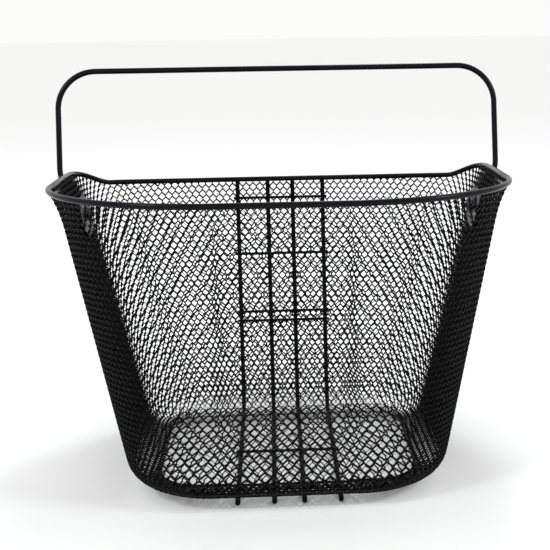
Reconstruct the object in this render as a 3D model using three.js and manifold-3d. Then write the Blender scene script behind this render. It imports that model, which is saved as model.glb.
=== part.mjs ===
// Handlebar basket: a tapered steel-mesh basket on a wire grid, with a swinging wire bail.
// Millimetres. +X is the rider's left-to-right width, +Y points to the bicycle, +Z is up.
// The origin is the middle of the footprint, on the surface that the basket stands on.
import * as THREE from 'three';
import { ParametricGeometry } from 'three/addons/geometries/ParametricGeometry.js';
import { mergeVertices } from 'three/addons/utils/BufferGeometryUtils.js';
import Module from 'manifold-3d';

const wasm = await Module();
wasm.setup();

// ---- driving dimensions -------------------------------------------------------------------
const GAP = 0.3;                 // clearance between pieces that touch on the real basket

const RIM_WIRE = 4.2;            // rim wire with the mesh edge rolled round it
const BAIL_WIRE = 4.5;
const LONG_WIRE = 3.6;           // the four long wires of the rear grid
const CROSS_WIRE = 2.2;
const SHEET = 1.2;               // expanded sheet, as a plain skin

// Plan of the rim's centre line: flat towards the bicycle, rounded off towards the front.
const RIM_PLAN = {
  rearHalfWidth: 171, frontHalfWidth: 166.5, rearY: 120.8, frontY: -123.7, frontBow: 2.1,
  rearCorner: 38, frontCornerX: 125, frontCornerY: 104,
};
// Plan of the sharp corner where the walls would meet the bottom.
const BASE_PLAN = {
  rearHalfWidth: 114.2, frontHalfWidth: 114.2, rearY: 100.7, frontY: -107, frontBow: 3,
  rearCorner: 42, frontCornerX: 60, frontCornerY: 54,
};
// Plan of the inner edge of the flange that carries the floor panel.
const FLANGE_PLAN = {
  rearHalfWidth: 94.5, frontHalfWidth: 94.5, rearY: 68, frontY: -73, frontBow: 0,
  rearCorner: 24, frontCornerX: 30, frontCornerY: 30,
};

const REAR_RIM_Z = 202.5;        // straight rear rim, dipped between the corners
const CORNER_RIM_Z = 212.6;
const FRONT_RIM_Z = 219.3;
const DIP_CENTRE_X = 159;        // where the rear rim climbs to its corners
const DIP_WIDTH = 29.5;
const SIDE_CLIMB = 0.65;         // of the depth, over which the sides reach the front's height

const FLARE = 5.7;               // the rim stands out this far past the straight walls
const FLARE_SHARE = 0.12;        // of the wall's height, under the rim

const FLANGE_Z = LONG_WIRE + GAP + CROSS_WIRE + GAP + SHEET / 2;
const WALL_FILLET = 20;          // bottom edge, on the middle of the sheet
const FLOOR_INSET = 18;          // floor panel's edge from the walls' sharp corner

const LONG_WIRE_X = [-36.8, -10.7, 10.7, 36.8];
const LONG_WIRE_FRONT_Y = -93.5;
const CROSS_OVERHANG = 3;        // cross wires past the outer long wires
const REAR_CROSS_Z = { cross_wire_top: 186.5, cross_wire_upper: 138,
  cross_wire_middle: 87.3, cross_wire_lower: 79.3 };
const FLOOR_CROSS_Y = -8;

const PIVOT_Y = 58;
const PIVOT_Z = 186;
const BAIL_REACH = 114;          // pivot axis to the middle of the grip bar
const BAIL_CORNER = 30;
const BAIL_LEAN = 13;            // degrees towards the bicycle, as it stands
const LEG_CLEARANCE = 0.7;       // leg to rim
const PIN_BEND = 4.6;            // where the leg turns in to the pivot

const PIVOT_HOLE = 3.2;          // radius, through the plates and washers
const PLATE = { front: 32, rear: 12, top: 15, bottom: 15, corner: 11, thickness: 1.2 };
const WASHER = { radius: 6.5, thickness: 1 };
const CAP = { radius: 5.4, thickness: 2.4, standOff: 1.9 };

// ---- counts of facets ---------------------------------------------------------------------
const REAR_STEPS = 6;            // stations along each half of the plan
const REAR_CORNER_STEPS = 9;
const SIDE_STEPS = 4;
const FRONT_CORNER_STEPS = 10;
const FRONT_STEPS = 3;
const FLARE_STEPS = 3;
const WALL_STEPS = 3;            // flare to fillet
const FILLET_STEPS = 5;
const WIRE_SIDES = 12;
const BEND_STEPS = 7;

// ---- materials ----------------------------------------------------------------------------
const COLOURS = { gloss: 0x0c0d0f, mesh: 0x101113, wire: 0x0b0c0e, zinc: 0x2a2c2f };

function enamel() {
  return new THREE.MeshStandardMaterial({ color: COLOURS.gloss, roughness: 0.25, metalness: 0.1 });
}

function meshEnamel() {
  return new THREE.MeshStandardMaterial({ color: COLOURS.mesh, roughness: 0.4, metalness: 0.1 });
}

function wireEnamel() {
  return new THREE.MeshStandardMaterial({ color: COLOURS.wire, roughness: 0.35, metalness: 0.1 });
}

function blackZinc() {
  return new THREE.MeshStandardMaterial({ color: COLOURS.zinc, roughness: 0.45, metalness: 0.6 });
}

// ---- plan curves --------------------------------------------------------------------------
const smooth = (a, b, x) => THREE.MathUtils.smoothstep(x, a, b);
const vec = (x, y, z) => new THREE.Vector3(x, y, z);

// Half-width of a plan's side, which draws in gently towards the front.
function halfWidthAt(plan, y) {
  const rearEnd = plan.rearY - plan.rearCorner;
  const frontEnd = plan.frontY + plan.frontCornerY;
  const forward = smooth(0, rearEnd - frontEnd, rearEnd - y);
  return THREE.MathUtils.lerp(plan.rearHalfWidth, plan.frontHalfWidth, forward);
}

// Half of a plan, from the middle of the rear to the middle of the front, always with the
// same number of stations, so that station k of one plan lies above station k of another.
function halfPlan(plan) {
  const points = [];
  const rearX = plan.rearHalfWidth - plan.rearCorner;
  const sideTop = plan.rearY - plan.rearCorner;
  const frontX = plan.frontHalfWidth - plan.frontCornerX;
  const sideEnd = plan.frontY + plan.frontCornerY;
  const quarter = (k, steps) => (k / steps) * Math.PI / 2;
  for (let k = 0; k < REAR_STEPS; k++) points.push([rearX * k / REAR_STEPS, plan.rearY]);
  for (let k = 0; k < REAR_CORNER_STEPS; k++) {
    const a = quarter(k, REAR_CORNER_STEPS);
    points.push([rearX + plan.rearCorner * Math.sin(a), sideTop + plan.rearCorner * Math.cos(a)]);
  }
  for (let k = 0; k < SIDE_STEPS; k++) {
    const y = THREE.MathUtils.lerp(sideTop, sideEnd, k / SIDE_STEPS);
    points.push([halfWidthAt(plan, y), y]);
  }
  for (let k = 0; k < FRONT_CORNER_STEPS; k++) {
    const a = quarter(k, FRONT_CORNER_STEPS);
    points.push([frontX + plan.frontCornerX * Math.cos(a), sideEnd - plan.frontCornerY * Math.sin(a)]);
  }
  for (let k = 0; k <= FRONT_STEPS; k++) points.push([frontX * (1 - k / FRONT_STEPS), plan.frontY]);
  // The front bows out gently, most of all at its middle.
  return points.map(([x, y]) => {
    const forward = smooth(0, -plan.frontY, -y);
    return [x, y - plan.frontBow * forward * (1 - (x / plan.frontHalfWidth) ** 2)];
  });
}

// The whole plan as a closed loop, once round.
function closedPlan(plan) {
  const half = halfPlan(plan);
  const other = half.slice(1, -1).reverse().map(([x, y]) => [-x, y]);
  return [...half, ...other];
}

function rimHeight(x, y) {
  const forward = (RIM_PLAN.rearY - y) / (RIM_PLAN.rearY - RIM_PLAN.frontY);
  const risen = Math.sin(THREE.MathUtils.clamp(forward / SIDE_CLIMB, 0, 1) * Math.PI / 2);
  const onRear = y > RIM_PLAN.rearY - RIM_PLAN.rearCorner;
  const climbed = smooth(DIP_CENTRE_X - DIP_WIDTH / 2, DIP_CENTRE_X + DIP_WIDTH / 2, Math.abs(x));
  const dip = onRear ? (CORNER_RIM_Z - REAR_RIM_Z) * (1 - climbed) : 0;
  return CORNER_RIM_Z + (FRONT_RIM_Z - CORNER_RIM_Z) * risen - dip;
}

const rimStations = closedPlan(RIM_PLAN).map(([x, y]) => vec(x, y, rimHeight(x, y)));
const baseStations = closedPlan(BASE_PLAN).map(([x, y]) => vec(x, y, FLANGE_Z));
const flangeStations = closedPlan(FLANGE_PLAN).map(([x, y]) => vec(x, y, FLANGE_Z));
const STATIONS = rimStations.length;

// ---- shape helpers ------------------------------------------------------------------------
// Points of an arc of the given radius that rounds off corner b of the path a-b-c.
function fillet(a, b, c, radius, steps) {
  const toA = a.clone().sub(b).normalize();
  const toC = c.clone().sub(b).normalize();
  const half = toA.angleTo(toC) / 2;
  const centre = toA.clone().add(toC).normalize().multiplyScalar(radius / Math.sin(half)).add(b);
  const start = toA.multiplyScalar(radius / Math.tan(half)).add(b).sub(centre);
  const end = toC.multiplyScalar(radius / Math.tan(half)).add(b).sub(centre);
  const turn = start.angleTo(end);
  const axis = start.clone().cross(end).normalize();
  return Array.from({ length: steps + 1 }, (_, k) =>
    start.clone().applyAxisAngle(axis, turn * k / steps).add(centre));
}

// A path that visits given points one by one, so that a straight takes a single step.
class WirePath extends THREE.Curve {
  constructor(points) {
    super();
    this.points = points;
  }

  getPoint(t) {
    return this.points[Math.round(t * (this.points.length - 1))].clone();
  }

  getPointAt(t) {
    return this.getPoint(t);
  }

  getTangentAt(t) {
    const k = Math.round(t * (this.points.length - 1));
    const before = this.points[Math.max(k - 1, 0)];
    const here = this.points[k];
    const after = this.points[Math.min(k + 1, this.points.length - 1)];
    const arriving = here.clone().sub(before).normalize();
    const leaving = after.clone().sub(here).normalize();
    return arriving.add(leaving).normalize();
  }
}

// Section of a wire, turned so that flats face along the section's two axes.
function wireSection(diameter) {
  const shape = new THREE.Shape();
  for (let k = 0; k < WIRE_SIDES; k++) {
    const a = (k + 0.5) * 2 * Math.PI / WIRE_SIDES;
    const r = diameter / 2 / Math.cos(Math.PI / WIRE_SIDES);
    shape[k ? 'lineTo' : 'moveTo'](r * Math.cos(a), r * Math.sin(a));
  }
  shape.closePath();
  return shape;
}

function weld(geometry) {
  geometry.deleteAttribute('normal');
  geometry.deleteAttribute('uv');
  return mergeVertices(geometry, 1e-4);
}

// A wire bent at its corners: corners are points, each with an optional bend radius.
function bentWire(corners, diameter) {
  const points = [];
  corners.forEach(({ at, bend }, k) => {
    if (bend) points.push(...fillet(corners[k - 1].at, at, corners[k + 1].at, bend, BEND_STEPS));
    else points.push(at.clone());
  });
  const extrudePath = new WirePath(points);
  const settings = { steps: points.length - 1, extrudePath, bevelEnabled: false };
  return weld(new THREE.ExtrudeGeometry(wireSection(diameter), settings));
}

// A closed band: loop(k) gives the closed section at station k, the same length every time.
function closedBand(stations, sectionLength, section) {
  const sections = Array.from({ length: stations }, (_, k) => section(k));
  const place = (u, v, target) => {
    const k = Math.round(u * stations) % stations;
    target.copy(sections[k][Math.round(v * sectionLength) % sectionLength]);
  };
  return weld(new ParametricGeometry(place, stations, sectionLength));
}

function toManifold(geometry) {
  return new wasm.Manifold(new wasm.Mesh({
    numProp: 3,
    vertProperties: new Float32Array(geometry.attributes.position.array),
    triVerts: new Uint32Array(geometry.index.array),
  }));
}

function toGeometry(manifold) {
  const { vertProperties, triVerts } = manifold.getMesh();
  const geometry = new THREE.BufferGeometry();
  geometry.setAttribute('position', new THREE.BufferAttribute(vertProperties, 3));
  geometry.setIndex(new THREE.BufferAttribute(triVerts, 1));
  return geometry;
}

// Cuts round holes along X through a geometry, at each given middle point.
function drillAlongX(geometry, middles, radius, depth) {
  let solid = toManifold(geometry);
  for (const middle of middles) {
    const drill = new THREE.CylinderGeometry(radius, radius, depth, 24);
    drill.rotateZ(Math.PI / 2).translate(middle.x, middle.y, middle.z);
    solid = solid.subtract(toManifold(weld(drill)));
  }
  return toGeometry(solid);
}

// ---- the side wall at the pivots ----------------------------------------------------------
// Middle of the side wall's sheet at a given y and z, below the flare.
function sideWallX(y, z) {
  const ends = (plan) => [plan.rearY - plan.rearCorner, plan.frontY + plan.frontCornerY];
  const [rimRear, rimFront] = ends(RIM_PLAN);
  const [baseRear, baseFront] = ends(BASE_PLAN);
  const rimZ = rimHeight(RIM_PLAN.rearHalfWidth, y);
  const down = (rimZ - z) / (rimZ - FLANGE_Z);
  const rear = THREE.MathUtils.lerp(rimRear, baseRear, down);
  const front = THREE.MathUtils.lerp(rimFront, baseFront, down);
  const rimY = THREE.MathUtils.lerp(rimRear, rimFront, (rear - y) / (rear - front));
  return THREE.MathUtils.lerp(halfWidthAt(RIM_PLAN, rimY) - FLARE, BASE_PLAN.rearHalfWidth, down);
}

const WALL_X_AT_PIVOT = sideWallX(PIVOT_Y, PIVOT_Z);
const SIDE_LEAN = Math.atan(sideWallX(PIVOT_Y, PIVOT_Z + 1) - WALL_X_AT_PIVOT);
const SIDE_YAW = Math.atan(sideWallX(PIVOT_Y + 1, PIVOT_Z) - WALL_X_AT_PIVOT);

// ---- pieces of the basket -----------------------------------------------------------------
function rimWire() {
  const radius = RIM_WIRE / 2;
  return closedBand(STATIONS, WIRE_SIDES, (k) => {
    const before = rimStations[(k + STATIONS - 1) % STATIONS];
    const after = rimStations[(k + 1) % STATIONS];
    const along = after.clone().sub(before).normalize();
    const out = along.clone().cross(vec(0, 0, 1)).normalize();
    const up = out.clone().cross(along).normalize();
    return Array.from({ length: WIRE_SIDES }, (_, j) => {
      const a = j * 2 * Math.PI / WIRE_SIDES;
      return rimStations[k].clone().addScaledVector(out, radius * Math.cos(a))
        .addScaledVector(up, radius * Math.sin(a));
    });
  });
}

// How far the rim stands out past the straight wall: fully at the front and the sides, and
// not at all at the flat rear.
function flareAt(k) {
  const { rearY, rearCorner } = RIM_PLAN;
  const amount = FLARE * smooth(0, rearCorner, rearY - rimStations[k].y);
  const out = rimStations[k].clone().sub(baseStations[k]).setZ(0).normalize();
  return out.multiplyScalar(amount);
}

// The wall's skin and the flange turned in under the floor, as one closed band.
function wallSection(k) {
  const bottom = baseStations[k];
  const towardsRim = rimStations[k].clone().sub(bottom).normalize();
  const alongRim = rimStations[(k + 1) % STATIONS].clone()
    .sub(rimStations[(k + STATIONS - 1) % STATIONS]).normalize();
  const below = (RIM_WIRE / 2 + 2 * GAP) / alongRim.cross(towardsRim).length();
  const top = rimStations[k].clone().addScaledVector(towardsRim, -below);
  const flare = flareAt(k);
  const straightTop = rimStations[k].clone().sub(flare);
  const arc = fillet(straightTop, bottom, flangeStations[k], WALL_FILLET, FILLET_STEPS);
  const middle = [];
  for (let j = 0; j < FLARE_STEPS; j++) {
    const fade = 1 - j / FLARE_STEPS;
    const wall = straightTop.clone().lerp(bottom, FLARE_SHARE * (1 - fade));
    middle.push(j ? wall.addScaledVector(flare, fade ** 2) : top);
  }
  const flareEnd = straightTop.clone().lerp(bottom, FLARE_SHARE);
  for (let j = 0; j < WALL_STEPS; j++) middle.push(flareEnd.clone().lerp(arc[0], j / WALL_STEPS));
  middle.push(...arc, flangeStations[k].clone());
  const inward = flangeStations[k].clone().sub(bottom).normalize();
  const side = towardsRim.clone().cross(inward).normalize();
  const offset = (sign) => middle.map((point, j) => {
    const before = middle[Math.max(j - 1, 0)];
    const after = middle[Math.min(j + 1, middle.length - 1)];
    const outward = side.clone().cross(after.clone().sub(before)).normalize();
    return point.clone().addScaledVector(outward, sign * SHEET / 2);
  });
  return [...offset(1), ...offset(-1).reverse()];
}

function wallMesh() {
  const length = wallSection(0).length;
  const skin = closedBand(STATIONS, length, wallSection);
  const pivots = [-1, 1].map((side) => vec(side * WALL_X_AT_PIVOT, PIVOT_Y, PIVOT_Z));
  return drillAlongX(skin, pivots, BAIL_WIRE / 2 + GAP, 12);
}

// A flat panel that lies on the flange, with the same outline as the base, but smaller.
function floorMesh() {
  const outline = closedPlan({
    rearHalfWidth: BASE_PLAN.rearHalfWidth - FLOOR_INSET,
    frontHalfWidth: BASE_PLAN.frontHalfWidth - FLOOR_INSET,
    rearY: BASE_PLAN.rearY - FLOOR_INSET,
    frontY: BASE_PLAN.frontY + FLOOR_INSET,
    frontBow: BASE_PLAN.frontBow,
    rearCorner: BASE_PLAN.rearCorner - FLOOR_INSET,
    frontCornerX: BASE_PLAN.frontCornerX - FLOOR_INSET,
    frontCornerY: BASE_PLAN.frontCornerY - FLOOR_INSET,
  });
  const shape = new THREE.Shape(outline.map(([x, y]) => new THREE.Vector2(x, y)));
  const panel = new THREE.ExtrudeGeometry(shape, { depth: SHEET, bevelEnabled: false });
  panel.translate(0, 0, FLANGE_Z + SHEET / 2 + GAP);
  return weld(panel);
}

// Direction up the rear wall, and the direction out of it towards the bicycle.
const rearTop = vec(0, RIM_PLAN.rearY, REAR_RIM_Z);
const rearFoot = vec(0, BASE_PLAN.rearY, FLANGE_Z);
const rearUp = rearTop.clone().sub(rearFoot).normalize();
const rearOut = vec(0, rearUp.z, -rearUp.y);
const CROSS_OFFSET = SHEET / 2 + GAP + CROSS_WIRE / 2;
const LONG_OFFSET = CROSS_OFFSET + CROSS_WIRE / 2 + GAP + LONG_WIRE / 2;

// From behind the rim, down the rear wall, round the bottom edge and forward as a foot.
function longWire() {
  const top = rearTop.clone().addScaledVector(rearOut, LONG_OFFSET).addScaledVector(rearUp, 1);
  const centreZ = LONG_WIRE / 2;
  const drop = (top.z - centreZ) / rearUp.z;
  const corner = top.clone().addScaledVector(rearUp, -drop);
  const front = vec(0, LONG_WIRE_FRONT_Y, centreZ);
  const bend = WALL_FILLET + LONG_OFFSET;
  return bentWire([{ at: top }, { at: corner, bend }, { at: front }], LONG_WIRE);
}

function crossWire() {
  const reach = LONG_WIRE_X[3] + CROSS_OVERHANG;
  return bentWire([{ at: vec(-reach, 0, 0) }, { at: vec(reach, 0, 0) }], CROSS_WIRE);
}

// A shield-shaped plate on the inside of the wall, square at the top and rounded below.
// Drawn with x along +Y, y up the wall, and turned so that +X is out of the basket.
function pivotPlate(side) {
  const { front, rear, top, bottom, corner, thickness } = PLATE;
  const shape = new THREE.Shape();
  shape.moveTo(rear, top);
  shape.lineTo(-front, top);
  shape.lineTo(-front, -bottom + corner);
  shape.quadraticCurveTo(-front, -bottom, -front + corner, -bottom);
  shape.lineTo(rear - corner, -bottom);
  shape.quadraticCurveTo(rear, -bottom, rear, -bottom + corner);
  const hole = new THREE.Path();
  hole.absarc(0, 0, PIVOT_HOLE, 0, 2 * Math.PI, true);
  shape.holes.push(hole);
  const settings = { depth: thickness, bevelEnabled: false, curveSegments: 6 };
  const plate = new THREE.ExtrudeGeometry(shape, settings);
  plate.rotateX(Math.PI / 2).rotateZ(Math.PI / 2);
  const inside = SHEET / 2 + 2 * GAP;
  plate.translate(side > 0 ? -inside - thickness : inside, 0, 0);
  return weld(plate);
}

// A flat ring between the wall and the leg.
function washer(side) {
  const { radius, thickness } = WASHER;
  const half = thickness / 2;
  const profile = [[PIVOT_HOLE, -half], [radius, -half], [radius, half], [PIVOT_HOLE, half],
    [PIVOT_HOLE, -half]];
  const ring = new THREE.LatheGeometry(profile.map(([r, z]) => new THREE.Vector2(r, z)), 24);
  ring.rotateZ(Math.PI / 2).translate(side * (SHEET / 2 + 2.5 * GAP + half), 0, 0);
  return weld(ring);
}

// A domed push-on cap that keeps the bail's turned-in end from pulling out.
function retainingCap() {
  const { radius, thickness } = CAP;
  const bore = BAIL_WIRE / 2 + GAP;
  const profile = [[bore, 0], [radius, 0], [radius, thickness * 0.4], [radius * 0.72, thickness * 0.85],
    [bore, thickness], [bore, 0]];
  return weld(new THREE.LatheGeometry(profile.map(([r, z]) => new THREE.Vector2(r, z)), 24));
}

// ---- the bail -----------------------------------------------------------------------------
// Drawn upright about the pivot axis, from one turned-in end to the other.
const LEG_X = RIM_PLAN.rearHalfWidth + RIM_WIRE / 2 + LEG_CLEARANCE + BAIL_WIRE / 2;
const LEG_FOOT_X = WALL_X_AT_PIVOT + SHEET / 2 + WASHER.thickness + BAIL_WIRE / 2 + 3.2;
const LEG_STRAIGHT_Z = rimHeight(RIM_PLAN.rearHalfWidth, PIVOT_Y) - PIVOT_Z;
const CAP_X = WALL_X_AT_PIVOT - SHEET / 2 - GAP - PLATE.thickness - CAP.standOff;
const PIN_END_X = CAP_X - CAP.thickness - 0.8;

function bail() {
  const right = [
    { at: vec(PIN_END_X, 0, 0) },
    { at: vec(LEG_FOOT_X, 0, 0), bend: PIN_BEND },
    { at: vec(LEG_X, 0, LEG_STRAIGHT_Z), bend: 40 },
    { at: vec(LEG_X, 0, BAIL_REACH), bend: BAIL_CORNER },
  ];
  const mirrored = ({ at, bend }) => ({ at: vec(-at.x, at.y, at.z), bend });
  return bentWire([...right, ...right.slice().reverse().map(mirrored)], BAIL_WIRE);
}

// ---- assembly -----------------------------------------------------------------------------
function piece(name, geometry, material) {
  const mesh = new THREE.Mesh(geometry, material);
  mesh.name = name;
  return mesh;
}

const basket = new THREE.Group();

basket.add(piece('rim_wire', rimWire(), enamel()));
basket.add(piece('wall_mesh', wallMesh(), meshEnamel()));
basket.add(piece('floor_mesh', floorMesh(), meshEnamel()));

const LONG_NAMES = ['long_wire_left_outer', 'long_wire_left_inner',
  'long_wire_right_inner', 'long_wire_right_outer'];
LONG_NAMES.forEach((name, k) => {
  const wire = piece(name, longWire(), wireEnamel());
  wire.position.x = LONG_WIRE_X[k];
  basket.add(wire);
});

for (const [name, z] of Object.entries(REAR_CROSS_Z)) {
  const wire = piece(name, crossWire(), wireEnamel());
  const climb = (z - rearFoot.z) / rearUp.z;
  wire.position.copy(rearFoot).addScaledVector(rearUp, climb).addScaledVector(rearOut, CROSS_OFFSET);
  basket.add(wire);
}
const floorCross = piece('cross_wire_floor', crossWire(), wireEnamel());
floorCross.position.set(0, FLOOR_CROSS_Y, FLANGE_Z - CROSS_OFFSET);
basket.add(floorCross);

for (const [hand, side] of [['left', -1], ['right', 1]]) {
  const pivot = new THREE.Group();
  pivot.position.set(side * WALL_X_AT_PIVOT, PIVOT_Y, PIVOT_Z);
  pivot.rotation.set(0, side * SIDE_LEAN, -side * SIDE_YAW, 'ZYX');
  pivot.add(piece(`pivot_plate_${hand}`, pivotPlate(side), enamel()));
  pivot.add(piece(`pivot_washer_${hand}`, washer(side), blackZinc()));
  basket.add(pivot);
}

const handle = new THREE.Group();
handle.position.set(0, PIVOT_Y, PIVOT_Z);
handle.rotation.x = -THREE.MathUtils.degToRad(BAIL_LEAN);
handle.add(piece('bail_handle', bail(), enamel()));
for (const [hand, side] of [['left', -1], ['right', 1]]) {
  const cap = piece(`retaining_cap_${hand}`, retainingCap(), blackZinc());
  cap.position.x = side * CAP_X;
  cap.rotation.z = side * Math.PI / 2;
  handle.add(cap);
}
basket.add(handle);

export default basket;
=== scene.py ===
"""Bicycle handlebar basket: expanded-mesh tub, rim wire, rear wire grid and a swinging bail.

Lengths in the shape code are millimetres, in the frame of the CAD model; vertices are
written in metres.
"""
import math

import bmesh
import bpy
import numpy as np
from mathutils import Matrix, Vector


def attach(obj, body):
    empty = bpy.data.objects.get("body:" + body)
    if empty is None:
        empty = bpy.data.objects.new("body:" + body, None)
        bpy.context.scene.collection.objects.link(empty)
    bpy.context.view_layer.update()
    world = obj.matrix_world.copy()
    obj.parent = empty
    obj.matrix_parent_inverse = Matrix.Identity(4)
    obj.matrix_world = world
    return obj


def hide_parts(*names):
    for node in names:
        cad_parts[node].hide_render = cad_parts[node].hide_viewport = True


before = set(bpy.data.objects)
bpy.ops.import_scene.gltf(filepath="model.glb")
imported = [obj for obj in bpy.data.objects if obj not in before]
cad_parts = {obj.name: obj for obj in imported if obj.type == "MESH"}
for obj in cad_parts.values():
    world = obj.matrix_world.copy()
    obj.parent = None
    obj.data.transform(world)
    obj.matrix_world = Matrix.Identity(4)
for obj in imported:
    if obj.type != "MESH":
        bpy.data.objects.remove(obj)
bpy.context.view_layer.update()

# ---- dimensions, as in the CAD model -------------------------------------------------
MM = 0.001
RIM_RADIUS = 2.1
BAIL_RADIUS = 2.25
LONG_RADIUS = 1.8
CROSS_RADIUS = 1.15              # 0.05 more than in the CAD model
SHEET = 1.2
GAP = 0.3

RIM_PLAN = dict(rear_half=171.0, front_half=166.5, rear_y=120.8, front_y=-123.7, bow=2.1,
                rear_corner=38.0, front_corner_x=125.0, front_corner_y=104.0)
BASE_PLAN = dict(rear_half=114.2, front_half=114.2, rear_y=100.7, front_y=-107.0, bow=3.0,
                 rear_corner=42.0, front_corner_x=60.0, front_corner_y=54.0)
FLANGE_PLAN = dict(rear_half=94.5, front_half=94.5, rear_y=68.0, front_y=-73.0, bow=0.0,
                   rear_corner=24.0, front_corner_x=30.0, front_corner_y=30.0)

REAR_RIM_Z, CORNER_RIM_Z, FRONT_RIM_Z = 202.5, 212.6, 219.3
DIP_CENTRE_X, DIP_WIDTH, SIDE_CLIMB = 159.0, 29.5, 0.65
FLARE, FLARE_SHARE = 5.7, 0.12
FLANGE_Z = 7.0
WALL_FILLET = 20.0
FLOOR_INSET = 18.0
FLOOR_Z = FLANGE_Z + SHEET + GAP

LONG_WIRES = {"long_wire_left_outer": -36.8, "long_wire_left_inner": -10.7,
              "long_wire_right_inner": 10.7, "long_wire_right_outer": 36.8}
LONG_WIRE_FRONT_Y = -93.5
CROSS_REACH = 39.8
REAR_CROSS_Z = {"cross_wire_top": 186.5, "cross_wire_upper": 138.0,
                "cross_wire_middle": 87.3, "cross_wire_lower": 79.3}
FLOOR_CROSS_Y = -8.0

PIVOT_Y, PIVOT_Z = 58.0, 186.0
BAIL_REACH, BAIL_CORNER, BAIL_LEAN = 114.0, 30.0, 13.0
PIN_BEND = 4.6

# ---- the expanded mesh ---------------------------------------------------------------
COLUMNS = 168                    # diamonds round the tub
CELL_HEIGHT = 8.6
BOND = 1.5                       # length of the joint between neighbouring diamonds
BOND_HALF = 0.52                 # half its width
STRAND_HALF = 0.6                # half the height of a strand, measured in the sheet
STRAND_DEPTH = 0.22              # half its thickness
STRAND_TILT = 0.76               # how far its upper edge stands out of the sheet
EDGE_STRAND_HALF = 0.8           # strands bunch up where the sheet is turned in
STRETCH = 0.063                  # diamonds are wider at the front and narrower at the rear
LEAST_PITCH = 2.6                # narrower diamonds get the hole of one this wide
FLATTENED = 0.7                  # diamonds left less high than this at an edge are dropped
MERGE_DISTANCE = 2e-5            # in metres

# ---- fineness ------------------------------------------------------------------------
PLAN_PARTS = 10.0                # a plan runs from t = 0 to this, and back to its start
PLAN_SAMPLES = 2001
WIRE_SIDES, CROSS_SIDES, RIM_SIDES, BAIL_SIDES = 16, 12, 20, 24
RIM_STATIONS = 320
CROSS_STATIONS = 24
BAIL_BEND_STEPS, BAIL_STEP = 20, 6.0
END_RINGS = 4                    # rings in the dome at a wire's end
DOME_HEIGHT = 0.45               # of that dome, in radii
DOME_FULLNESS = 0.6              # below 1 the dome is fuller than a quarter circle
END_FLAT = 0.35                  # leaves a small flat in its middle


# ---- plan curves ---------------------------------------------------------------------
def smooth(lo, hi, x):
    t = np.clip((x - lo) / (hi - lo), 0.0, 1.0)
    return t * t * (3 - 2 * t)


def half_width(plan, y):
    rear_end = plan["rear_y"] - plan["rear_corner"]
    front_end = plan["front_y"] + plan["front_corner_y"]
    forward = smooth(0.0, rear_end - front_end, rear_end - y)
    return plan["rear_half"] + (plan["front_half"] - plan["rear_half"]) * forward


def plan_point(plan, t):
    """Point of a plan at t in 0..10: 0 is the rear's middle, 5 the front's."""
    t = t % PLAN_PARTS
    side = 1.0
    if t > PLAN_PARTS / 2:
        t, side = PLAN_PARTS - t, -1.0
    rear_x = plan["rear_half"] - plan["rear_corner"]
    side_top = plan["rear_y"] - plan["rear_corner"]
    front_x = plan["front_half"] - plan["front_corner_x"]
    side_end = plan["front_y"] + plan["front_corner_y"]
    part = min(int(t), 4)
    f = t - part
    a = f * math.pi / 2
    if part == 0:
        x, y = rear_x * f, plan["rear_y"]
    elif part == 1:
        x = rear_x + plan["rear_corner"] * math.sin(a)
        y = side_top + plan["rear_corner"] * math.cos(a)
    elif part == 2:
        y = side_top + (side_end - side_top) * f
        x = half_width(plan, y)
    elif part == 3:
        x = front_x + plan["front_corner_x"] * math.cos(a)
        y = side_end - plan["front_corner_y"] * math.sin(a)
    else:
        x, y = front_x * (1 - f), plan["front_y"]
    forward = smooth(0.0, -plan["front_y"], -y)
    y -= plan["bow"] * forward * (1 - (x / plan["front_half"]) ** 2)
    return side * x, y


def rim_height(x, y):
    forward = (RIM_PLAN["rear_y"] - y) / (RIM_PLAN["rear_y"] - RIM_PLAN["front_y"])
    risen = math.sin(min(max(forward / SIDE_CLIMB, 0.0), 1.0) * math.pi / 2)
    on_rear = y > RIM_PLAN["rear_y"] - RIM_PLAN["rear_corner"]
    climbed = smooth(DIP_CENTRE_X - DIP_WIDTH / 2, DIP_CENTRE_X + DIP_WIDTH / 2, abs(x))
    dip = (CORNER_RIM_Z - REAR_RIM_Z) * (1 - climbed) if on_rear else 0.0
    return CORNER_RIM_Z + (FRONT_RIM_Z - CORNER_RIM_Z) * risen - dip


def rim_point(t):
    x, y = plan_point(RIM_PLAN, t)
    return Vector((x, y, rim_height(x, y)))


def base_point(t):
    return Vector((*plan_point(BASE_PLAN, t), FLANGE_Z))


def flange_point(t):
    return Vector((*plan_point(FLANGE_PLAN, t), FLANGE_Z))


def even_stations(plan, count, stretched=False):
    """Values of t that divide a plan into count equal lengths, starting at the rear."""
    ts = np.linspace(0.0, PLAN_PARTS, PLAN_SAMPLES)
    points = np.array([plan_point(plan, t) for t in ts])
    steps = np.linalg.norm(np.diff(points, axis=0), axis=1)
    if stretched:
        steps = steps * (1 + STRETCH * np.clip(points[1:, 1] / 100.0, -1, 1))
    lengths = np.concatenate([[0], np.cumsum(steps)])
    return np.interp(np.arange(count) / count * lengths[-1], lengths, ts)


def arc_points(a, b, c, radius, steps):
    """Points of the arc that rounds off corner b of the path a-b-c."""
    to_a, to_c = (a - b).normalized(), (c - b).normalized()
    half = to_a.angle(to_c) / 2
    centre = b + (to_a + to_c).normalized() * (radius / math.sin(half))
    start = b + to_a * (radius / math.tan(half)) - centre
    end = b + to_c * (radius / math.tan(half)) - centre
    axis = start.cross(end).normalized()
    turn = start.angle(end)
    return [centre + Matrix.Rotation(turn * k / steps, 3, axis) @ start
            for k in range(steps + 1)]


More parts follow.
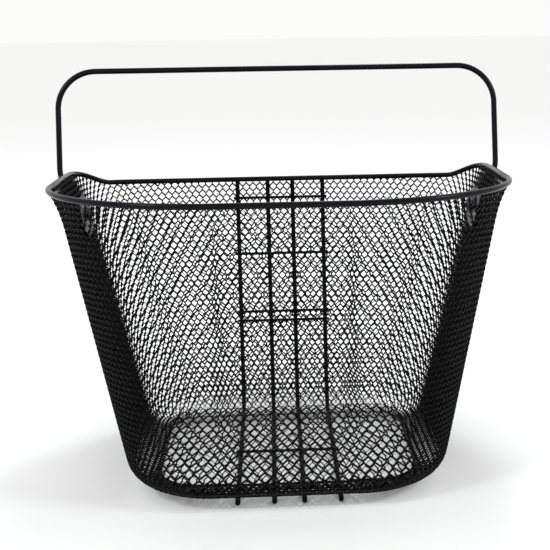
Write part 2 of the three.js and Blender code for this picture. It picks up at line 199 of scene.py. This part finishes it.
# ---- mesh objects --------------------------------------------------------------------
def make_object(name, vertices, faces, material, smooth_shading=True):
    """A mesh object from points in millimetres."""
    data = bpy.data.meshes.new(name)
    data.from_pydata([tuple(float(c) * MM for c in v) for v in vertices], [], faces)
    data.validate()
    data.polygons.foreach_set("use_smooth", [smooth_shading] * len(data.polygons))
    data.materials.append(material)
    obj = bpy.data.objects.new(name, data)
    bpy.context.scene.collection.objects.link(obj)
    return obj


def sweep(points, radius, sides=WIRE_SIDES, closed=False):
    """A round wire along points, with domed ends unless it is closed."""
    points = [Vector(p) for p in points]
    count = len(points)
    tangents = []
    for k in range(count):
        before = points[(k - 1) % count] if closed or k else points[0]
        after = points[(k + 1) % count] if closed or k < count - 1 else points[-1]
        tangents.append((after - before).normalized())
    normal = tangents[0].orthogonal().normalized()
    rings = []
    for k in range(count):
        if k:
            normal = tangents[k - 1].rotation_difference(tangents[k]) @ normal
        rings.append((points[k], tangents[k], normal.copy(), radius))
    if closed:
        slip = tangents[-1].rotation_difference(tangents[0]) @ rings[-1][2]
        twist = slip.angle(rings[0][2])
        if slip.cross(rings[0][2]).dot(tangents[0]) < 0:
            twist = -twist
        rings = [(p, t, Matrix.Rotation(twist * k / count, 3, t) @ n, r)
                 for k, (p, t, n, r) in enumerate(rings)]
    else:
        first, last = rings[0], rings[-1]
        for k in range(1, END_RINGS + 1):
            a = math.pi / 2 * k / (END_RINGS + END_FLAT)
            shrink = radius * math.cos(a) ** DOME_FULLNESS
            ahead = DOME_HEIGHT * radius * math.sin(a)
            rings.append((last[0] + last[1] * ahead, last[1], last[2], shrink))
            rings.insert(0, (first[0] - first[1] * ahead, first[1], first[2], shrink))
    vertices, faces = [], []
    for point, tangent, normal, size in rings:
        other = tangent.cross(normal)
        for j in range(sides):
            a = 2 * math.pi * j / sides
            out = normal * (size * math.cos(a)) + other * (size * math.sin(a))
            vertices.append(point + out)
    total = len(rings)
    for k in range(total if closed else total - 1):
        for j in range(sides):
            a, b = k * sides + j, k * sides + (j + 1) % sides
            c, d = ((k + 1) % total) * sides + (j + 1) % sides, ((k + 1) % total) * sides + j
            faces.append((a, b, c, d))
    if not closed:
        faces.append(tuple(reversed(range(sides))))
        faces.append(tuple((total - 1) * sides + j for j in range(sides)))
    return vertices, faces


def straight(a, b, steps):
    return [a.lerp(b, k / steps) for k in range(steps)]


def bent_path(corners, bend_steps=14):
    """Corners are (point, bend radius or None)."""
    path = []
    for k, (point, bend) in enumerate(corners):
        if bend:
            path += arc_points(corners[k - 1][0], point, corners[k + 1][0], bend, bend_steps)
        else:
            path.append(point.copy())
    return path


def lathe_x(profile, steps=40):
    """A solid of revolution about X from a closed loop of (x, radius)."""
    vertices, faces = [], []
    count = len(profile)
    for k in range(steps):
        a = 2 * math.pi * k / steps
        vertices += [Vector((x, r * math.cos(a), r * math.sin(a))) for x, r in profile]
    for k in range(steps):
        for j in range(count):
            a, b = k * count + j, k * count + (j + 1) % count
            c, d = ((k + 1) % steps) * count + (j + 1) % count, ((k + 1) % steps) * count + j
            faces.append((a, d, c, b))
    return vertices, faces


# ---- materials -----------------------------------------------------------------------
def node_maker(tree):
    def make(kind, **inputs):
        node = tree.nodes.new(kind)
        for key, value in inputs.items():
            if key in node.inputs:
                node.inputs[key].default_value = value
            else:
                setattr(node, key, value)
        return node
    return make


DRIFT_SCALE, PEEL_SCALE, DUST_SCALE = 38.0, 900.0, 260.0
PEEL_DEPTH = 0.0003
DUST_COLOUR = (0.05, 0.05, 0.055, 1)
DUST_COVER = (0.35, 0.35, 0.35, 1)


def set_ramp(node, *stops):
    for element, (position, colour) in zip(node.color_ramp.elements, stops):
        element.position = position
        element.color = colour


def enamel(name, dark, light, rough, rough_spread, bump, shine, metal=0.0):
    """Black coating: slow colour drift, orange peel and specks of dust."""
    material = bpy.data.materials.new(name)
    material.use_nodes = True
    tree = material.node_tree
    tree.nodes.clear()
    make, link = node_maker(tree), tree.links.new
    output = make("ShaderNodeOutputMaterial")
    shader = make("ShaderNodeBsdfPrincipled")
    shader.inputs["Metallic"].default_value = metal
    shader.inputs["Specular IOR Level"].default_value = shine
    link(shader.outputs["BSDF"], output.inputs["Surface"])
    place = make("ShaderNodeTexCoord")
    drift = make("ShaderNodeTexNoise", Scale=DRIFT_SCALE, Detail=4.0, Roughness=0.6)
    peel = make("ShaderNodeTexNoise", Scale=PEEL_SCALE, Detail=2.0, Roughness=0.5)
    dust = make("ShaderNodeTexNoise", Scale=DUST_SCALE, Detail=6.0, Roughness=0.7)
    for node in (drift, peel, dust):
        link(place.outputs["Object"], node.inputs["Vector"])
    colour = make("ShaderNodeValToRGB")
    set_ramp(colour, (0.35, (*dark, 1)), (0.75, (*light, 1)))
    link(drift.outputs["Fac"], colour.inputs["Fac"])
    specks = make("ShaderNodeValToRGB")
    set_ramp(specks, (0.66, (0, 0, 0, 1)), (0.78, DUST_COVER))
    link(dust.outputs["Fac"], specks.inputs["Fac"])
    mix = make("ShaderNodeMix", data_type="RGBA")
    mix.inputs["B"].default_value = DUST_COLOUR
    link(specks.outputs["Color"], mix.inputs["Factor"])
    link(colour.outputs["Color"], mix.inputs["A"])
    link(mix.outputs["Result"], shader.inputs["Base Color"])
    gloss = make("ShaderNodeMapRange")
    gloss.inputs["To Min"].default_value = rough - rough_spread
    gloss.inputs["To Max"].default_value = rough + rough_spread
    link(dust.outputs["Fac"], gloss.inputs["Value"])
    link(gloss.outputs["Result"], shader.inputs["Roughness"])
    relief = make("ShaderNodeBump", Strength=bump, Distance=PEEL_DEPTH)
    link(peel.outputs["Fac"], relief.inputs["Height"])
    link(relief.outputs["Normal"], shader.inputs["Normal"])
    return material


GLOSS = enamel("gloss_black_enamel", (0.0015, 0.0015, 0.003), (0.004, 0.004, 0.007),
               rough=0.2, rough_spread=0.06, bump=0.25, shine=0.11)
MESH = enamel("mesh_black_enamel", (0.0012, 0.0012, 0.0015), (0.003, 0.003, 0.004),
              rough=0.36, rough_spread=0.08, bump=0.35, shine=0.035)
WIRE = enamel("wire_black_enamel", (0.0015, 0.0015, 0.002), (0.004, 0.004, 0.005),
              rough=0.3, rough_spread=0.07, bump=0.35, shine=0.05)
ZINC = enamel("black_zinc", (0.02, 0.02, 0.022), (0.05, 0.05, 0.055),
              rough=0.4, rough_spread=0.08, bump=0.2, shine=0.3, metal=0.7)


# ---- the tub's surface ---------------------------------------------------------------
WALL_STATIONS = (0, 0.03, 0.06, 0.09, 0.12, 0.25, 0.4, 0.55, 0.7, 0.8)   # shares of the wall
FILLET_STEPS = 8


def wall_path(t_rim, t_base):
    """Points down one column of the tub: rim, flare, wall, bottom edge, flange."""
    def mixed(v):
        t = t_rim + (t_base - t_rim) * v
        rim, base = rim_point(t), base_point(t)
        out = (rim - base).to_2d().normalized()
        reach = FLARE * smooth(0.0, RIM_PLAN["rear_corner"], RIM_PLAN["rear_y"] - rim.y)
        flare = Vector((*out, 0)) * float(reach)
        fade = max(0.0, 1 - v / FLARE_SHARE) ** 2
        return (rim - flare).lerp(base, v) + flare * fade

    base, flange = base_point(t_base), flange_point(t_base)
    above = mixed(WALL_STATIONS[-1])
    arc = arc_points(above, base, flange, WALL_FILLET, FILLET_STEPS)
    end = 1 - (arc[0] - base).length / (mixed(0.0) - base).length
    wall = [mixed(v) for v in (*WALL_STATIONS, end - 0.04)]
    return wall + arc + [flange], len(wall)


STEP = 1.0                       # spacing of the surface table, down a column
LOWEST, HIGHEST = -60.0, 230.0   # of the distance from the bottom edge's fillet, upwards


def surface_table():
    """Points of the tub for each half column and each distance above the fillet."""
    count = 2 * COLUMNS
    t_rim, t_base = (even_stations(plan, count, True) for plan in (RIM_PLAN, BASE_PLAN))
    distances = np.arange(LOWEST, HIGHEST + STEP, STEP)
    grid = np.zeros((count, len(distances), 3))
    top, bottom = np.zeros(count), np.zeros(count)
    for k in range(count):
        path, fillet_at = wall_path(t_rim[k], t_base[k])
        path = np.array([tuple(p) for p in path])
        run = np.concatenate([[0], np.cumsum(np.linalg.norm(np.diff(path, axis=0), axis=1))])
        along = run[fillet_at] - run
        top[k], bottom[k] = along[0], along[-1]
        for axis in range(3):
            grid[k, :, axis] = np.interp(distances, along[::-1], path[::-1, axis])
    return grid, top, bottom


GRID, TOP, BOTTOM = surface_table()


def at_column(values, c):
    low = np.floor(c * 2).astype(int)
    f = c * 2 - low
    a, b = values[low % len(values)], values[(low + 1) % len(values)]
    return a + (b - a) * (f[:, None] if a.ndim > 1 else f)


def surface(c, d):
    """Point of the tub at column c, distance d above the fillet. Both are arrays."""
    d = np.clip(d, at_column(BOTTOM, c), at_column(TOP, c))
    row = (d - LOWEST) / STEP
    low = np.clip(np.floor(row).astype(int), 0, GRID.shape[1] - 2)
    f = (row - low)[:, None]
    k = np.floor(c * 2).astype(int)
    g = (c * 2 - k)[:, None]
    k0, k1 = k % len(GRID), (k + 1) % len(GRID)
    a = GRID[k0, low] + (GRID[k0, low + 1] - GRID[k0, low]) * f
    b = GRID[k1, low] + (GRID[k1, low + 1] - GRID[k1, low]) * f
    return a + (b - a) * g


def unit(vectors):
    return vectors / np.maximum(np.linalg.norm(vectors, axis=1), 1e-9)[:, None]


def tub_directions(u, v):
    """Outward normal and the direction up the wall."""
    along = surface(u + 0.25, v) - surface(u - 0.25, v)
    up = unit(surface(u, v + 1.0) - surface(u, v - 1.0))
    return unit(np.cross(up, along)), up


def lattice(cells, place, directions, pitch, height, clamp, bond, bond_half, strand_half,
            depth, tilt, wrap=None):
    """Diamonds with six-sided holes. cells are (u, v) centres, one unit of u apart.

    A strand is a flat ribbon that thins out to its edges. It is twisted, as in any expanded
    sheet, so that its upper edge stands out of the sheet and its lower edge stands in.
    """
    keys, corners_uv = {}, []

    def corner(u, v, end):
        """Vertex at a joint between diamonds: end is +1 for its top and -1 for its foot."""
        if wrap:
            u = u % wrap
        key = (round(u * 2), round(v * 2), end)
        if key not in keys:
            keys[key] = len(corners_uv)
            corners_uv.append((u, v * height + end * bond / 2))
        return keys[key]

    faces, holes_uv, twists, flat = [], [], [], []
    for u, v in cells:
        outer = [corner(u, v + 0.5, -1), corner(u + 0.5, v, 1), corner(u + 0.5, v, -1),
                 corner(u, v - 0.5, 1), corner(u - 0.5, v, -1), corner(u - 0.5, v, 1)]
        width = pitch(u, v * height)
        run, rise = width / 2, height / 2 - bond
        slope = rise / run
        tip = height / 2 - bond / 2 - strand_half * math.hypot(run, rise) / run
        side = run - bond_half
        shoulder = tip - slope * side
        du, y = side / width, v * height
        inner = [(u, y + tip), (u + du, y + shoulder), (u + du, y - shoulder),
                 (u, y - tip), (u - du, y - shoulder), (u - du, y + shoulder)]
        flat.append((outer, len(holes_uv)))
        holes_uv += inner
        twists.extend((-1, -1, 1, 1, 1, -1))
    corner_array, hole_array = np.array(corners_uv), np.array(holes_uv)
    cu, cv = corner_array[:, 0], clamp(corner_array[:, 0], corner_array[:, 1])
    hu, hv = hole_array[:, 0], clamp(hole_array[:, 0], hole_array[:, 1])
    crest, (n, up) = place(cu, cv), directions(cu, cv)
    thick = unit(n * strand_half - up * tilt) * depth
    edge = place(hu, hv) + directions(hu, hv)[0] * (np.array(twists) * tilt)[:, None]
    vertices = np.concatenate([crest + thick, crest - thick, edge])
    corners = len(crest)
    for outer, first in flat:
        spans = cv[outer]
        if spans.max() - spans.min() < FLATTENED:
            continue
        for j in range(6):
            a, b = outer[j], outer[(j + 1) % 6]
            c, d = 2 * corners + first + (j + 1) % 6, 2 * corners + first + j
            faces.append((a, b, c, d))
            faces.append((corners + b, corners + a, d, c))
    return vertices, faces


def tidy_mesh(obj):
    """Joins points that clamping brought together and drops the faces that vanish."""
    work = bmesh.new()
    work.from_mesh(obj.data)
    bmesh.ops.remove_doubles(work, verts=work.verts, dist=MERGE_DISTANCE)
    bmesh.ops.dissolve_degenerate(work, edges=work.edges, dist=MERGE_DISTANCE)
    loose = [v for v in work.verts if not v.link_faces]
    bmesh.ops.delete(work, geom=loose, context="VERTS")
    work.to_mesh(obj.data)
    work.free()
    obj.data.polygons.foreach_set("use_smooth", [True] * len(obj.data.polygons))


def wall_pitch(u, d):
    a = surface(np.array([u - 0.5, u + 0.5]), np.array([d, d]))
    return max(float(np.linalg.norm(a[1] - a[0])), LEAST_PITCH)


def build_wall():
    def clamp(u, v):
        return np.clip(v, at_column(BOTTOM, u), at_column(TOP, u))

    top_row = int(math.ceil(TOP.max() / CELL_HEIGHT)) + 1
    bottom_row = -int(math.ceil(-BOTTOM.min() / CELL_HEIGHT)) - 1
    wall_cells, edge_cells = [], []
    for half in range(2 * bottom_row, 2 * top_row + 1):
        shift = 0.5 if half % 2 else 0.0
        cells = edge_cells if half < 0 else wall_cells
        cells += [(c + shift, half / 2) for c in range(COLUMNS)]
    for name, cells, strand_half in (("mesh_wall", wall_cells, STRAND_HALF),
                                     ("mesh_turned_edge", edge_cells, EDGE_STRAND_HALF)):
        vertices, faces = lattice(cells, surface, tub_directions, wall_pitch, CELL_HEIGHT,
                                  clamp, BOND, BOND_HALF, strand_half, STRAND_DEPTH,
                                  STRAND_TILT, wrap=COLUMNS)
        obj = make_object(name, vertices, faces, MESH)
        tidy_mesh(obj)
        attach(obj, "basket")
        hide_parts("wall_mesh")


# ---- the floor -----------------------------------------------------------------------
FLOOR_PITCH, FLOOR_CELL = 8.7, 22.5
FLOOR_BOND, FLOOR_BOND_HALF = 3.0, 0.85
FLOOR_STRAND_HALF, FLOOR_STRAND_DEPTH, FLOOR_STRAND_TILT = 0.85, 0.35, 0.3
FLOOR_HALF_ROWS, FLOOR_HALF_COLUMNS = 10, 14
FLOOR_OVERRUN = 3                # diamonds centred this far past the edge are still made
FLOOR_SAMPLES = 721


def build_floor():
    inset = dict(BASE_PLAN)
    for key, sign in (("rear_half", -1), ("front_half", -1), ("rear_y", -1), ("front_y", 1),
                      ("rear_corner", -1), ("front_corner_x", -1), ("front_corner_y", -1)):
        inset[key] += sign * FLOOR_INSET
    outline = np.array([plan_point(inset, t)
                        for t in np.linspace(0, PLAN_PARTS, FLOOR_SAMPLES)])
    centre = outline.mean(axis=0)
    angles = np.arctan2(outline[:, 1] - centre[1], outline[:, 0] - centre[0])
    order = np.argsort(angles)
    angles, reach = angles[order], np.linalg.norm(outline - centre, axis=1)[order]

    def place(u, v):
        x, y = u * FLOOR_PITCH - centre[0], v - centre[1]
        angle, far = np.arctan2(y, x), np.hypot(x, y)
        limit = np.interp(angle, angles, reach, period=2 * math.pi)
        k = np.minimum(1.0, limit / np.maximum(far, 1e-6))
        z = np.full(len(x), FLOOR_Z)
        return np.stack([x * k + centre[0], y * k + centre[1], z], axis=1)

    def directions(u, v):
        return np.tile([0.0, 0.0, 1.0], (len(u), 1)), np.tile([0.0, 1.0, 0.0], (len(u), 1))

    cells = []
    for half in range(-FLOOR_HALF_ROWS, FLOOR_HALF_ROWS + 1):
        shift = 0.5 if half % 2 else 0.0
        for c in range(-FLOOR_HALF_COLUMNS, FLOOR_HALF_COLUMNS + 1):
            u, v = c + shift, half / 2
            x, y = u * FLOOR_PITCH, v * FLOOR_CELL
            dx, dy = x - centre[0], y - centre[1]
            limit = np.interp(math.atan2(dy, dx), angles, reach, period=2 * math.pi)
            if math.hypot(dx, dy) < limit + FLOOR_OVERRUN:
                cells.append((u, v))
    vertices, faces = lattice(cells, place, directions, lambda u, v: FLOOR_PITCH, FLOOR_CELL,
                              lambda u, v: v, FLOOR_BOND, FLOOR_BOND_HALF, FLOOR_STRAND_HALF,
                              FLOOR_STRAND_DEPTH, FLOOR_STRAND_TILT)
    obj = make_object("mesh_floor", vertices, faces, MESH)
    tidy_mesh(obj)
    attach(obj, "basket")
    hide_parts("floor_mesh")


# ---- wires ---------------------------------------------------------------------------
REAR_TOP = Vector((0, RIM_PLAN["rear_y"], REAR_RIM_Z))
REAR_FOOT = Vector((0, BASE_PLAN["rear_y"], FLANGE_Z))
REAR_UP = (REAR_TOP - REAR_FOOT).normalized()
REAR_OUT = Vector((0, REAR_UP.z, -REAR_UP.y))
CROSS_CAD_RADIUS = 1.1           # the wires' places follow the CAD model's radius
CROSS_OFFSET = SHEET / 2 + GAP + CROSS_CAD_RADIUS
LONG_OFFSET = CROSS_OFFSET + CROSS_CAD_RADIUS + GAP + LONG_RADIUS


def wire_piece(name, points, radius, material, body, node, sides=WIRE_SIDES,
               closed=False):
    vertices, faces = sweep(points, radius, sides, closed)
    obj = make_object(name, vertices, faces, material)
    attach(obj, body)
    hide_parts(node)
    return obj


def build_rim():
    ts = even_stations(RIM_PLAN, RIM_STATIONS)
    wire_piece("rim", [rim_point(t) for t in ts], RIM_RADIUS, GLOSS, "basket",
               "rim_wire", sides=RIM_SIDES, closed=True)


def build_grid():
    top = REAR_TOP + REAR_OUT * LONG_OFFSET + REAR_UP
    corner = top - REAR_UP * ((top.z - LONG_RADIUS) / REAR_UP.z)
    front = Vector((0, LONG_WIRE_FRONT_Y, LONG_RADIUS))
    path = bent_path([(top, None), (corner, WALL_FILLET + LONG_OFFSET), (front, None)])
    for node, x in LONG_WIRES.items():
        shift = Vector((x, 0, 0))
        wire_piece(node + "_rod", [p + shift for p in path], LONG_RADIUS, WIRE, "basket",
                   node)
    places = {}
    for node, z in REAR_CROSS_Z.items():
        climb = (z - REAR_FOOT.z) / REAR_UP.z
        places[node] = REAR_FOOT + REAR_UP * climb + REAR_OUT * CROSS_OFFSET
    places["cross_wire_floor"] = Vector((0, FLOOR_CROSS_Y, FLANGE_Z - CROSS_OFFSET))
    for node, middle in places.items():
        reach = Vector((CROSS_REACH, 0, 0))
        ends = straight(middle - reach, middle + reach, CROSS_STATIONS) + [middle + reach]
        wire_piece(node + "_rod", ends, CROSS_RADIUS, WIRE, "basket", node,
                   CROSS_SIDES)


# ---- pivots and bail -----------------------------------------------------------------
def side_wall_x(y, z):
    def ends(plan):
        return plan["rear_y"] - plan["rear_corner"], plan["front_y"] + plan["front_corner_y"]

    (rim_rear, rim_front), (base_rear, base_front) = ends(RIM_PLAN), ends(BASE_PLAN)
    rim_z = rim_height(RIM_PLAN["rear_half"], y)
    down = (rim_z - z) / (rim_z - FLANGE_Z)
    rear = rim_rear + (base_rear - rim_rear) * down
    front = rim_front + (base_front - rim_front) * down
    rim_y = rim_rear + (rim_front - rim_rear) * (rear - y) / (rear - front)
    top_x = half_width(RIM_PLAN, rim_y) - FLARE
    return float(top_x + (BASE_PLAN["rear_half"] - top_x) * down)


WALL_X = side_wall_x(PIVOT_Y, PIVOT_Z)
SIDE_LEAN = math.atan(side_wall_x(PIVOT_Y, PIVOT_Z + 1) - WALL_X)
SIDE_YAW = math.atan(side_wall_x(PIVOT_Y + 1, PIVOT_Z) - WALL_X)
PLATE_THICK, CAP_RADIUS, CAP_THICK, CAP_STAND_OFF = 1.2, 5.4, 2.4, 1.9
PLATE_FRONT, PLATE_REAR, PLATE_TOP, PLATE_BOTTOM, PLATE_CORNER = 32, 12, 15, 15, 11
PLATE_EDGE = 0.35                # bevel round its inner face
PLATE_MIDDLE = Vector(((PLATE_REAR - PLATE_FRONT) / 2, 0))
BOSS_RADIUS, BOSS_TOP_RADIUS, BOSS_HEIGHT = 7.2, 6.2, 0.5
BOSS_SIDES = 40
WASHER_RADIUS, WASHER_THICK, WASHER_EDGE, PIVOT_HOLE = 6.5, 1.0, 0.2, 3.2
PIN_TAIL = 0.8                   # of the pin, past the cap
RIM_CLEARANCE = 0.7              # between the rim and the bail's leg
FOOT_CLEARANCE = 3.2             # from the wall and washer out to the leg's foot
LEG_BEND = 40.0
CAP_X = WALL_X - SHEET / 2 - GAP - PLATE_THICK - CAP_STAND_OFF
PIN_END_X = CAP_X - CAP_THICK - PIN_TAIL
LEG_X = RIM_PLAN["rear_half"] + RIM_RADIUS + RIM_CLEARANCE + BAIL_RADIUS
LEG_FOOT_X = WALL_X + SHEET / 2 + WASHER_THICK + BAIL_RADIUS + FOOT_CLEARANCE
LEG_STRAIGHT_Z = rim_height(RIM_PLAN["rear_half"], PIVOT_Y) - PIVOT_Z


def shield_outline(front, rear, top, bottom, corner, steps=8):
    """(y, z) points of a plate, square at the top and rounded below, from its rear top."""
    points = [(rear, top), (-front, top)]
    for middle, start in ((-front + corner, math.pi), (rear - corner, 1.5 * math.pi)):
        for k in range(steps + 1):
            a = start + math.pi / 2 * k / steps
            below = -bottom + corner + corner * math.sin(a)
            points.append((middle + corner * math.cos(a), below))
    return points


def bands(starts, count):
    """Four-cornered faces between rings of count vertices, given each ring's first one."""
    return [(a + j, a + (j + 1) % count, b + (j + 1) % count, b + j)
            for a, b in zip(starts, starts[1:]) for j in range(count)]


def plate_parts(side):
    """Rim and boss of a plate, without its two flat faces, and where each ring starts."""
    outline = shield_outline(PLATE_FRONT, PLATE_REAR, PLATE_TOP, PLATE_BOTTOM, PLATE_CORNER)
    near = -(SHEET / 2 + 2 * GAP)
    far = near - PLATE_THICK
    vertices, loops, rings = [], [], []
    # The outline beside the wall, below the bevel, and on the inner face.
    for x, shrink in ((near, 0.0), (far + PLATE_EDGE, 0.0), (far, PLATE_EDGE)):
        loops.append(len(vertices))
        for y, z in outline:
            p = Vector((y, z)) - PLATE_MIDDLE
            p = p * (1 - shrink / max(p.length, 1e-6)) + PLATE_MIDDLE
            vertices.append(Vector((side * x, p.x, p.y)))
    # The raised boss, and the hole for the pin through it.
    boss = far - BOSS_HEIGHT
    for x, r in ((far, BOSS_RADIUS), (boss, BOSS_TOP_RADIUS), (boss, PIVOT_HOLE),
                 (near, PIVOT_HOLE)):
        rings.append(len(vertices))
        for j in range(BOSS_SIDES):
            a = 2 * math.pi * j / BOSS_SIDES
            vertices.append(Vector((side * x, r * math.cos(a), r * math.sin(a))))
    faces = bands(loops, len(outline)) + bands(rings, BOSS_SIDES)
    return vertices, faces, loops, rings, len(outline)


def fill_flat_faces(obj, pairs):
    """Fills between each outer loop and its hole. Both are (first vertex, count)."""
    work = bmesh.new()
    work.from_mesh(obj.data)
    work.verts.ensure_lookup_table()
    for pair in pairs:
        edges = []
        for start, number in pair:
            for j in range(number):
                a, b = work.verts[start + j], work.verts[start + (j + 1) % number]
                edges.append(work.edges.get((a, b)) or work.edges.new((a, b)))
        bmesh.ops.triangle_fill(work, edges=edges, use_beauty=True)
    bmesh.ops.recalc_face_normals(work, faces=work.faces)
    work.to_mesh(obj.data)
    work.free()


def build_plates():
    for hand, side in (("left", -1), ("right", 1)):
        vertices, faces, loops, rings, count = plate_parts(side)
        obj = make_object("plate_" + hand, vertices, faces, GLOSS, False)
        fill_flat_faces(obj, (((loops[2], count), (rings[0], BOSS_SIDES)),
                              ((loops[0], count), (rings[3], BOSS_SIDES))))
        obj.matrix_world = pivot_matrix(side)
        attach(obj, "basket")
        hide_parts("pivot_plate_" + hand)


def pivot_matrix(side):
    place = Matrix.Translation(Vector((side * WALL_X, PIVOT_Y, PIVOT_Z)) * MM)
    return (place @ Matrix.Rotation(-side * SIDE_YAW, 4, "Z")
            @ Matrix.Rotation(side * SIDE_LEAN, 4, "Y"))


def build_small_parts():
    start = SHEET / 2 + 2.5 * GAP
    end = start + WASHER_THICK
    edge_radius = WASHER_RADIUS - WASHER_EDGE
    washer = [(start, PIVOT_HOLE), (start, edge_radius), (start + WASHER_EDGE, WASHER_RADIUS),
              (end - WASHER_EDGE, WASHER_RADIUS), (end, edge_radius), (end, PIVOT_HOLE)]
    bore = BAIL_RADIUS + 0.05
    cap = [(0, bore), (0, CAP_RADIUS - 0.3), (-0.3, CAP_RADIUS), (-0.9, CAP_RADIUS),
           (-1.4, 5.0), (-1.8, 4.3), (-2.1, 3.5), (-2.2, 2.9), (-CAP_THICK, bore)]
    lean = Matrix.Rotation(-math.radians(BAIL_LEAN), 4, "X")
    for hand, side in (("left", -1), ("right", 1)):
        vertices, faces = lathe_x([(side * x, r) for x, r in washer])
        obj = make_object("washer_" + hand, vertices, faces, ZINC, False)
        fix_normals(obj)
        obj.matrix_world = pivot_matrix(side)
        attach(obj, "basket")
        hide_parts("pivot_washer_" + hand)
        vertices, faces = lathe_x([(side * x, r) for x, r in cap])
        obj = make_object("push_nut_" + hand, vertices, faces, ZINC)
        fix_normals(obj)
        obj.matrix_world = Matrix.Translation(
            Vector((side * CAP_X, PIVOT_Y, PIVOT_Z)) * MM) @ lean
        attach(obj, "bail")
        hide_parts("retaining_cap_" + hand)


def fix_normals(obj):
    work = bmesh.new()
    work.from_mesh(obj.data)
    bmesh.ops.recalc_face_normals(work, faces=work.faces)
    work.to_mesh(obj.data)
    work.free()


def build_bail():
    right = [(Vector((PIN_END_X, 0, 0)), None),
             (Vector((LEG_FOOT_X, 0, 0)), PIN_BEND),
             (Vector((LEG_X, 0, LEG_STRAIGHT_Z)), LEG_BEND),
             (Vector((LEG_X, 0, BAIL_REACH)), BAIL_CORNER)]
    left = [(Vector((-p.x, p.y, p.z)), bend) for p, bend in reversed(right)]
    path = bent_path(right + left, BAIL_BEND_STEPS)
    dense = []
    for a, b in zip(path, path[1:]):
        dense += straight(a, b, max(1, int((b - a).length / BAIL_STEP)))
    dense.append(path[-1])
    lean = Matrix.Rotation(-math.radians(BAIL_LEAN), 3, "X")
    pivot = Vector((0, PIVOT_Y, PIVOT_Z))
    wire_piece("bail", [pivot + lean @ p for p in dense], BAIL_RADIUS, GLOSS, "bail",
               "bail_handle", sides=BAIL_SIDES)


build_wall()
build_floor()
build_rim()
build_grid()
build_plates()
build_small_parts()
build_bail()


# ---- studio --------------------------------------------------------------------------
FLOOR_HALF_SIZE = 40000
WORLD_COLOUR, WORLD_STRENGTH = (1.0, 1.0, 0.995, 1), 0.97
LIGHT_COLOUR, LIGHT_SIZE = (0.95, 0.975, 1.0), 0.3
LIGHT_AIM = Vector((0, 0, 0.1))
LIGHTS = (("key", (-1.1, -0.8, 1.3), 7.5),   # name, place in metres, power in watts
          ("fill", (1.2, -0.5, 1.0), 6.0),
          ("top", (0.2, 0.9, 1.6), 8.0))
CAMERA_PLACE = Vector((-5.25, -789.98, 327.35))
CAMERA_PITCH, CAMERA_YAW, CAMERA_ROLL = 0.228, 0.052, -0.015
CAMERA_SENSOR, CAMERA_LENS, CAMERA_SHIFT = 36.0, 69.31636, -0.1


def floor_material():
    """White studio floor with painted light: its colour is darker round the basket and
    lighter further out, so that it runs out into the background.
    """
    material = bpy.data.materials.new("studio_floor")
    material.use_nodes = True
    tree = material.node_tree
    make, link = node_maker(tree), tree.links.new
    shader = tree.nodes["Principled BSDF"]
    shader.inputs["Roughness"].default_value = 0.9
    shader.inputs["Specular IOR Level"].default_value = 0.1
    place = make("ShaderNodeTexCoord")
    length = make("ShaderNodeVectorMath", operation="LENGTH")
    link(place.outputs["Object"], length.inputs[0])
    # Painted light: the floor colour runs from darker at the middle, round the basket, to
    # lighter 0.6 m out. This painted falloff fades the floor into the bright background.
    painted_falloff_ramp = make("ShaderNodeValToRGB")
    set_ramp(painted_falloff_ramp, (0.05, (0.87, 0.87, 0.862, 1)), (0.6, (0.95, 0.95, 0.95, 1)))
    link(length.outputs["Value"], painted_falloff_ramp.inputs["Fac"])
    link(painted_falloff_ramp.outputs["Color"], shader.inputs["Base Color"])
    return material


def build_studio():
    size = FLOOR_HALF_SIZE
    corners = [(-size, -size, 0), (size, -size, 0), (size, size, 0), (-size, size, 0)]
    floor = make_object("studio_floor", corners, [(0, 1, 2, 3)], floor_material(), False)
    world = bpy.data.worlds.new("studio")
    bpy.context.scene.world = world
    world.use_nodes = True
    background = world.node_tree.nodes["Background"]
    background.inputs["Color"].default_value = WORLD_COLOUR
    background.inputs["Strength"].default_value = WORLD_STRENGTH
    for name, place, power in LIGHTS:
        data = bpy.data.lights.new(name, "AREA")
        data.shape = "SQUARE"
        data.size = LIGHT_SIZE
        data.energy = power
        data.color = LIGHT_COLOUR
        light = bpy.data.objects.new(name, data)
        bpy.context.scene.collection.objects.link(light)
        light.location = place
        aim = LIGHT_AIM - light.location
        light.rotation_euler = aim.to_track_quat("-Z", "Y").to_euler()
    bpy.context.scene.view_settings.view_transform = "Standard"


def build_camera():
    pitch, yaw, roll = CAMERA_PITCH, CAMERA_YAW, CAMERA_ROLL
    level = Vector((math.sin(yaw), math.cos(yaw), 0))
    ahead = level * math.cos(pitch) - Vector((0, 0, 1)) * math.sin(pitch)
    right = Vector((math.cos(yaw), -math.sin(yaw), 0))
    up = Vector((0, 0, 1)) * math.cos(pitch) + level * math.sin(pitch)
    camera_right = right * math.cos(roll) + up * math.sin(roll)
    camera_up = up * math.cos(roll) - right * math.sin(roll)
    data = bpy.data.cameras.new("camera")
    data.sensor_width = CAMERA_SENSOR
    data.lens = CAMERA_LENS
    data.shift_x = CAMERA_SHIFT
    data.clip_start, data.clip_end = 0.05, 200
    camera = bpy.data.objects.new("camera", data)
    bpy.context.scene.collection.objects.link(camera)
    axes = Matrix((camera_right, camera_up, -ahead)).transposed()
    camera.matrix_world = Matrix.Translation(CAMERA_PLACE * MM) @ axes.to_4x4()
    bpy.context.scene.camera = camera


build_studio()
build_camera()
